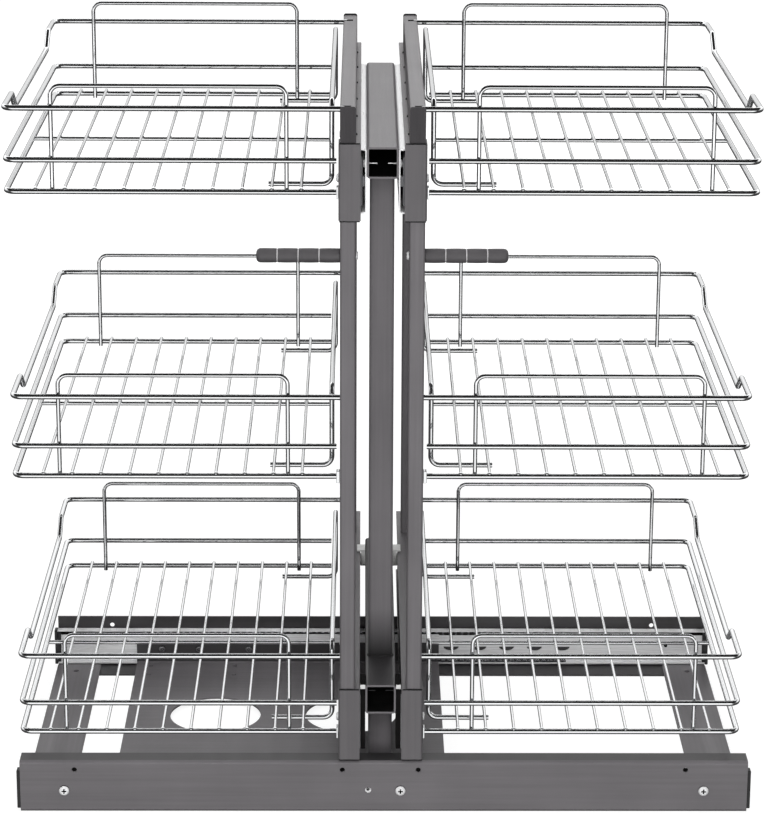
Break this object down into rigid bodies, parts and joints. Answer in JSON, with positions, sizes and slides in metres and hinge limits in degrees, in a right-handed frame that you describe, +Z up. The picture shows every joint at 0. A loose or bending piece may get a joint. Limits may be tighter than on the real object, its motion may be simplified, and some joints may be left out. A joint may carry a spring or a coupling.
{
  "type": "blind corner pull out",
  "caption": "Blind corner pull-out organiser: wire baskets on two sliding columns, carried by a central mast that runs sideways on a floor-mounted slide base.",
  "frame": {"origin": "on the floor under the middle of the closed unit's box", "axes": "+X along the rails towards the side the carriage slides to, +Y to the back of the cabinet, +Z up"},
  "size_m": [0.727, 0.55, 0.7289],
  "materials": {
    "chrome_wire": "polished chrome plate",
    "dark_coat": "dark grey fine satin powder coat",
    "dark_coat_shade": "darker grey satin powder coat",
    "zinc_steel": "bright zinc plated rolled steel",
    "zinc_screw": "zinc plated pan head",
    "black_plastic": "moulded black plastic",
    "grip_plastic": "dark grey moulded grip"
  },
  "bodies": {
    "base": {"base_front_rail": "dark_coat", "base_rear_rail": "dark_coat_shade", "base_left_strip": "dark_coat", "base_right_strip": "dark_coat", "front_slide_rail": "zinc_steel", "rear_slide_rail": "zinc_steel", "slide_end_caps": "black_plastic", "rail_screws": "zinc_screw"},
    "base_cages": {"base_ball_cages": "zinc_steel"},
    "carriage": {"carriage_plate": "dark_coat", "front_slide_runner": "zinc_steel", "rear_slide_runner": "zinc_steel", "plate_screws": "zinc_screw", "mast_foot": "dark_coat", "mast_bottom_arm": "dark_coat", "mast_post": "dark_coat", "mast_top_arm": "dark_coat", "arm_screws": "zinc_screw", "left_top_slide_outer": "zinc_steel", "left_low_slide_outer": "zinc_steel", "right_top_slide_outer": "zinc_steel", "right_low_slide_outer": "zinc_steel"},
    "left_column": {"left_top_slide_inner": "zinc_steel", "left_low_slide_inner": "zinc_steel", "left_top_housing": "dark_coat", "left_low_housing": "dark_coat", "left_top_bracket": "dark_coat", "left_low_bracket": "dark_coat", "left_top_tube": "dark_coat", "left_tube_plugs": "black_plastic", "left_front_upright": "dark_coat", "left_rear_upright": "dark_coat", "left_grip": "grip_plastic", "left_column_screws": "zinc_screw", "left_top_basket": "chrome_wire", "left_mid_basket": "chrome_wire", "left_low_basket": "chrome_wire"},
    "left_middles": {"left_top_slide_middle": "zinc_steel", "left_low_slide_middle": "zinc_steel"},
    "left_first_cages": {"left_outer_cages": "zinc_steel"},
    "left_second_cages": {"left_inner_cages": "zinc_steel"},
    "right_column": {"right_top_slide_inner": "zinc_steel", "right_low_slide_inner": "zinc_steel", "right_top_housing": "dark_coat", "right_low_housing": "dark_coat", "right_top_bracket": "dark_coat", "right_low_bracket": "dark_coat", "right_top_tube": "dark_coat", "right_tube_plugs": "black_plastic", "right_front_upright": "dark_coat", "right_rear_upright": "dark_coat", "right_grip": "grip_plastic", "right_column_screws": "zinc_screw", "right_top_basket": "chrome_wire", "right_mid_basket": "chrome_wire", "right_low_basket": "chrome_wire"},
    "right_middles": {"right_top_slide_middle": "zinc_steel", "right_low_slide_middle": "zinc_steel"},
    "right_first_cages": {"right_outer_cages": "zinc_steel"},
    "right_second_cages": {"right_inner_cages": "zinc_steel"}
  },
  "joints": [
    {"name": "carriage_slide", "type": "slide", "parent": "base", "child": "carriage", "axis": [1, 0, 0], "range_m": [0, 0.29]},
    {"name": "base_cage_follow", "type": "slide", "parent": "base", "child": "base_cages", "axis": [1, 0, 0], "range_m": [0, 0.145]},
    {"name": "left_pull", "type": "slide", "parent": "carriage", "child": "left_column", "axis": [0, -1, 0], "range_m": [0, 0.43]},
    {"name": "left_middles_follow", "type": "slide", "parent": "carriage", "child": "left_middles", "axis": [0, -1, 0], "range_m": [0, 0.215]},
    {"name": "left_first_cages_follow", "type": "slide", "parent": "carriage", "child": "left_first_cages", "axis": [0, -1, 0], "range_m": [0, 0.1075]},
    {"name": "left_second_cages_follow", "type": "slide", "parent": "carriage", "child": "left_second_cages", "axis": [0, -1, 0], "range_m": [0, 0.3225]},
    {"name": "right_pull", "type": "slide", "parent": "carriage", "child": "right_column", "axis": [0, -1, 0], "range_m": [0, 0.43]},
    {"name": "right_middles_follow", "type": "slide", "parent": "carriage", "child": "right_middles", "axis": [0, -1, 0], "range_m": [0, 0.215]},
    {"name": "right_first_cages_follow", "type": "slide", "parent": "carriage", "child": "right_first_cages", "axis": [0, -1, 0], "range_m": [0, 0.1075]},
    {"name": "right_second_cages_follow", "type": "slide", "parent": "carriage", "child": "right_second_cages", "axis": [0, -1, 0], "range_m": [0, 0.3225]}
  ],
  "couplings": [
    {"joint": "base_cage_follow", "follows": "carriage_slide", "ratio": 0.5},
    {"joint": "left_middles_follow", "follows": "left_pull", "ratio": 0.5},
    {"joint": "left_first_cages_follow", "follows": "left_pull", "ratio": 0.25},
    {"joint": "left_second_cages_follow", "follows": "left_pull", "ratio": 0.75},
    {"joint": "right_middles_follow", "follows": "right_pull", "ratio": 0.5},
    {"joint": "right_first_cages_follow", "follows": "right_pull", "ratio": 0.25},
    {"joint": "right_second_cages_follow", "follows": "right_pull", "ratio": 0.75}
  ]
}
